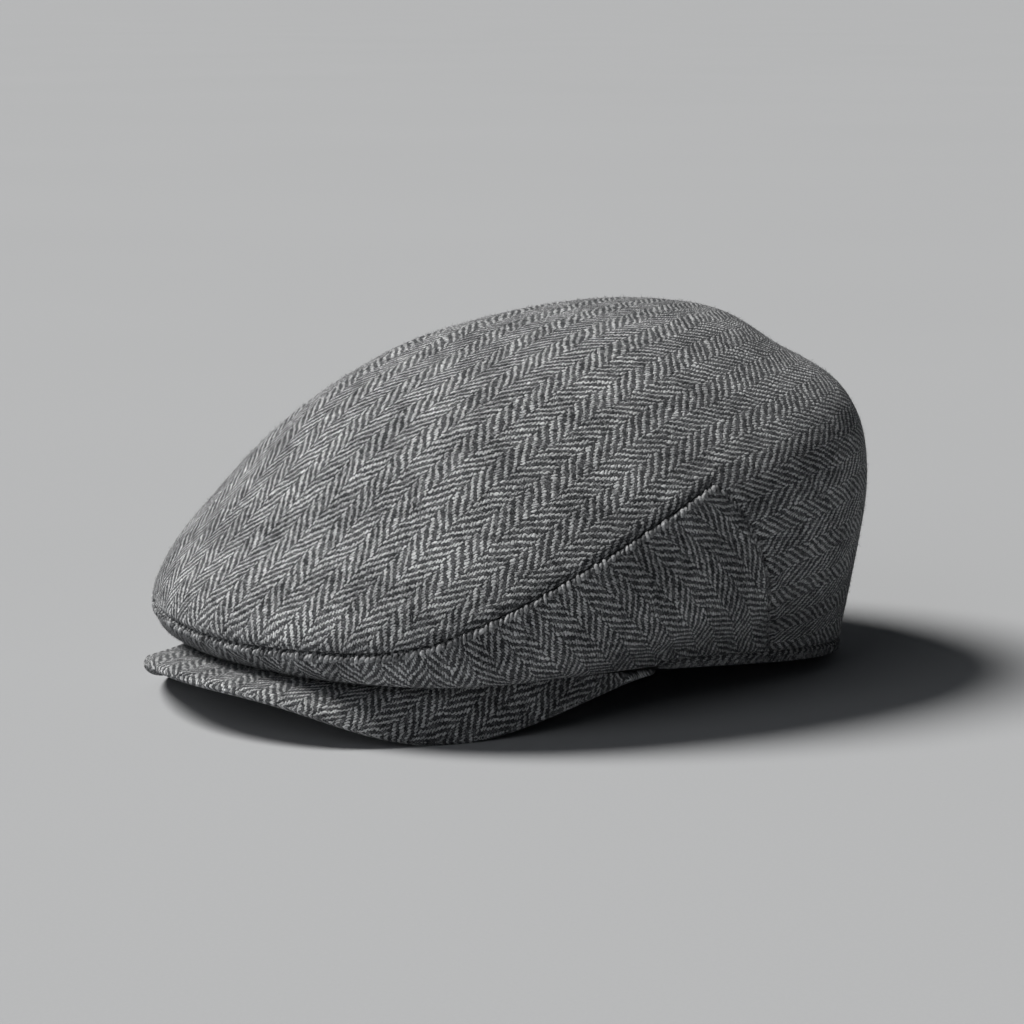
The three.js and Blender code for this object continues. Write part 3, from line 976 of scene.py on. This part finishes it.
backRow = {
    "spacing": 1.9, "length": 2.4, "width": 1.1, "height": 1.1, "tilt": -35, "dull": 0.2, "bright": 0.8,
    "aside": 0.9, "depth": -0.05, "foot": 4.5, "points": 300, "seed": 5,
}
backRows = []
for side, hand in ((-1, "left"), (1, "right")):
    rises = np.linspace(float(upForLength(cornerAngle, backRow["foot"])), cornerUp, backRow["points"])
    places = side * (backSeamAngle(rises) - backRow["aside"] / form["seamRadius"])
    row = backRow | {"tilt": backRow["tilt"] * side, "seed": backRow["seed"] + side}
    backRows.append(wallRow(f"back_seam_rope_{hand}", places, rises, row))

# the join that closes the crown at the middle of the back
middleRow = backRow | {
    "length": 2.3, "width": 1.0, "height": 1.0, "tilt": 40, "dull": 0.1, "bright": 0.6,
    "depth": 0.15, "seed": 12,
}
rises = np.linspace(float(upForLength(math.pi, middleRow["foot"])), crown["dartUp"], middleRow["points"])
places = np.full(middleRow["points"], math.pi)
backRows.append(wallRow("middle_seam_rope", places, rises, middleRow))

hemRow = {
    "spacing": 1.6, "length": 2.6, "width": 0.95, "height": 0.9, "tilt": 76, "dull": 0.3, "bright": 1.0,
    "up": 0.52, "depth": -0.75, "seed": 9,
}
hemStitches = wallRow("hem_stitches", stations, top * hemRow["up"], hemRow)

# The edges turned inside, behind every seam: strips of cloth that close the sewn grooves.
tape = {
    "wide": 5.0,  # to either side of the seam
    "from": 1.35, "to": 1.95,  # below the outer skin
    "rows": 7, "every": 3, "longLength": 400, "backLength": 80, "backFoot": 0.5, "backPoints": 100,
}
acrossTape = np.linspace(-1, 1, tape["rows"])[:, None] * tape["wide"]


def seamTape(name, angle, up, length):
    flat = np.stack(np.broadcast_arrays(acrossTape, np.linspace(0, length, up.shape[1])[None]), axis=-1)
    top, under = wallPoint(angle, up, tape["from"]), wallPoint(angle, up, tape["to"])
    return closedShell(name, top, under, flat, liningWool, liningWool)


ups = seamUps[::tape["every"]][None] + acrossTape * upPerMillimetre
places = np.broadcast_to(seamAngles[None, ::tape["every"]], ups.shape)
seamTapes = [seamTape("long_seam_allowance", places, ups, tape["longLength"])]
for side, hand in ((-1, "left"), (1, "right")):
    rises = np.linspace(float(upForLength(cornerAngle, tape["backFoot"])), cornerUp, tape["backPoints"])
    places = side * (backSeamAngle(rises)[None] + acrossTape / form["seamRadius"])
    ups = np.broadcast_to(rises[None], places.shape)
    seamTapes.append(seamTape(f"back_seam_allowance_{hand}", places, ups, tape["backLength"]))


print("stage: loose fibres")
fuzz = {
    "crown": (25000, 21), "band": (9000, 22), "peak": (8000, 23),  # how many, and a seed for chance
    "shortest": 0.5, "longest": 1.8, "width": 0.075,
    "trimmed": (0.6, 1),
    "raised": (8, 75),  # degrees off the cloth
    "curlAside": 0.9,
    "curlDown": (0.1, 0.9),
    "shades": (0.2, 1.0),
    "cuts": ((-0.1, 1), (0.35, 1), (0.7, 0.85), (1, 0.35)),  # along a fibre, and how wide it is there
}


# Loose fibres standing off the wool: short curled ribbons.
def looseFibres(name, outer, count, seed):
    rng = np.random.default_rng(seed)
    a, b, c = outer[:-1, :-1], outer[:-1, 1:], outer[1:, :-1]
    sides = np.cross(b - a, c - a)
    area = np.linalg.norm(sides, axis=-1).ravel()
    pick = rng.choice(len(area), count, p=area / area.sum())
    s, t = rng.uniform(0, 1, (2, count, 1))
    root = a.reshape(-1, 3)[pick] + (b - a).reshape(-1, 3)[pick] * s + (c - a).reshape(-1, 3)[pick] * t
    out = unit(sides.reshape(-1, 3)[pick])
    lean = unit(np.cross(out, rng.normal(size=(count, 3))))
    raised = np.radians(rng.uniform(*fuzz["raised"], count))[:, None]
    way = lean * np.cos(raised) + out * np.sin(raised)
    aside = rng.uniform(-fuzz["curlAside"], fuzz["curlAside"], (count, 1))
    curl = np.cross(out, lean) * aside - out * rng.uniform(*fuzz["curlDown"], (count, 1))
    long = rng.uniform(fuzz["shortest"], fuzz["longest"], (count, 1))
    long = long * rng.uniform(*fuzz["trimmed"], (count, 1))
    wide = unit(np.cross(way, rng.normal(size=(count, 3)))) * fuzz["width"] / 2
    rows = []
    for part, thin in fuzz["cuts"]:
        spine = root + (way * part + curl * part * abs(part) * 0.5) * long
        rows += [spine - wide * thin, spine + wide * thin]
    points = np.stack(rows, axis=1).reshape(-1, 3)
    each = len(rows)
    ribbon = np.array([(k, k + 1, k + 3, k + 2) for k in range(0, each - 2, 2)])
    faces = (np.arange(count)[:, None, None] * each + ribbon[None]).reshape(-1, 4)
    uv = np.repeat(rng.uniform(0, 9, (count, 2)), ribbon.size, axis=0)
    shade = np.repeat(rng.uniform(*fuzz["shades"], count), each)
    piece = makeMesh(name, points, faces.tolist(), uv, {"shade": shade})
    piece.data.materials.append(fuzzFinish)
    return piece


crownFibres = looseFibres("crown_fibres", crownOuter, *fuzz["crown"])
bandFibres = looseFibres("side_band_fibres", bandOuter, *fuzz["band"])
peakFibres = looseFibres("peak_fibres", peakTop, *fuzz["peak"])

for piece, node, slot in (
    (crownPiece, "crown_panel", "crown_wool"),
    (bandPiece, "side_band", "band_wool"),
    (peakPiece, "peak", "peak_wool"),
    (hemPiece, "rim_hem", "hem_wool"),
):
    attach(piece, "root")
    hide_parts(node)
for piece, slot in (
    [(v, "band_wool") for v in [seamRope, bandFibres] + backRows + seamTapes]
    + [(hemStitches, "hem_wool"), (crownFibres, "crown_wool"), (peakFibres, "peak_wool")]
):
    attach(piece, "root")


studio = {
    "target": (-0.0037, 0.0075, 0.0538),
    "azimuth": 50.67,
    "elevation": 10.1,
    "distance": 1.042,
    "lens": 105.5,
    "sensor": 36,
    "floor": (0.42, 0.428, 0.44, 1),
    "floorHalf": 70,
    "air": (0.80, 0.86, 0.93, 1),
    "airStrength": 0.04,
    "lamps": [  # name, where it stands, how wide in degrees, power, colour
        ("key", (-0.50, -0.37, 0.78), 26, 4.35, (1.0, 0.985, 0.96)),
        ("front fill", (0.12, -0.88, 0.45), 45, 0.4, (0.95, 0.97, 1.0)),
    ],
}


# A big far lamp: even light over the whole floor, with soft-edged shadows.
def lamp(name, towards, width, power, colour):
    data = bpy.data.lights.new(name, "SUN")
    data.energy = power
    data.angle = math.radians(width)
    data.color = colour
    addObject(name, data).rotation_euler = Vector(towards).to_track_quat("Z", "Y").to_euler()


def floorFinish():
    f = Finish("pale studio floor")
    place = f.node("ShaderNodeTexCoord", {}, {}, out=3)
    grain = f.noise(place, 900.0, 3.0)
    clouds = f.noise(place, 1.5, 2.0)
    colour = f.dim(studio["floor"], 0.97 + (grain - 0.5) * 0.05 + (clouds - 0.5) * 0.04)
    return f.shade(colour, 0.85, grain, 0.0001, 0.2, 0.0)


print("stage: studio")
floorMesh = bpy.data.meshes.new("floor")
far = studio["floorHalf"]
floorMesh.from_pydata([(-far, -far, 0), (far, -far, 0), (far, far, 0), (-far, far, 0)], [], [(0, 1, 2, 3)])
floorMesh.materials.append(floorFinish())
floor = addObject("floor", floorMesh)

world = bpy.data.worlds.new("studio air")
world.use_nodes = True
world.node_tree.nodes["Background"].inputs[0].default_value = studio["air"]
world.node_tree.nodes["Background"].inputs[1].default_value = studio["airStrength"]
bpy.context.scene.world = world
for values in studio["lamps"]:
    lamp(*values)

turnTo, riseTo = math.radians(studio["azimuth"]), math.radians(studio["elevation"])
level = math.cos(riseTo)
towards = Vector((math.sin(turnTo) * level, -math.cos(turnTo) * level, math.sin(riseTo)))
cameraData = bpy.data.cameras.new("camera")
cameraData.lens = studio["lens"]
cameraData.sensor_width = studio["sensor"]
camera = addObject("camera", cameraData)
camera.location = Vector(studio["target"]) + towards * studio["distance"]
camera.rotation_euler = (-towards).to_track_quat("-Z", "Y").to_euler()
bpy.context.scene.camera = camera
bpy.context.scene.view_settings.view_transform = "Standard"
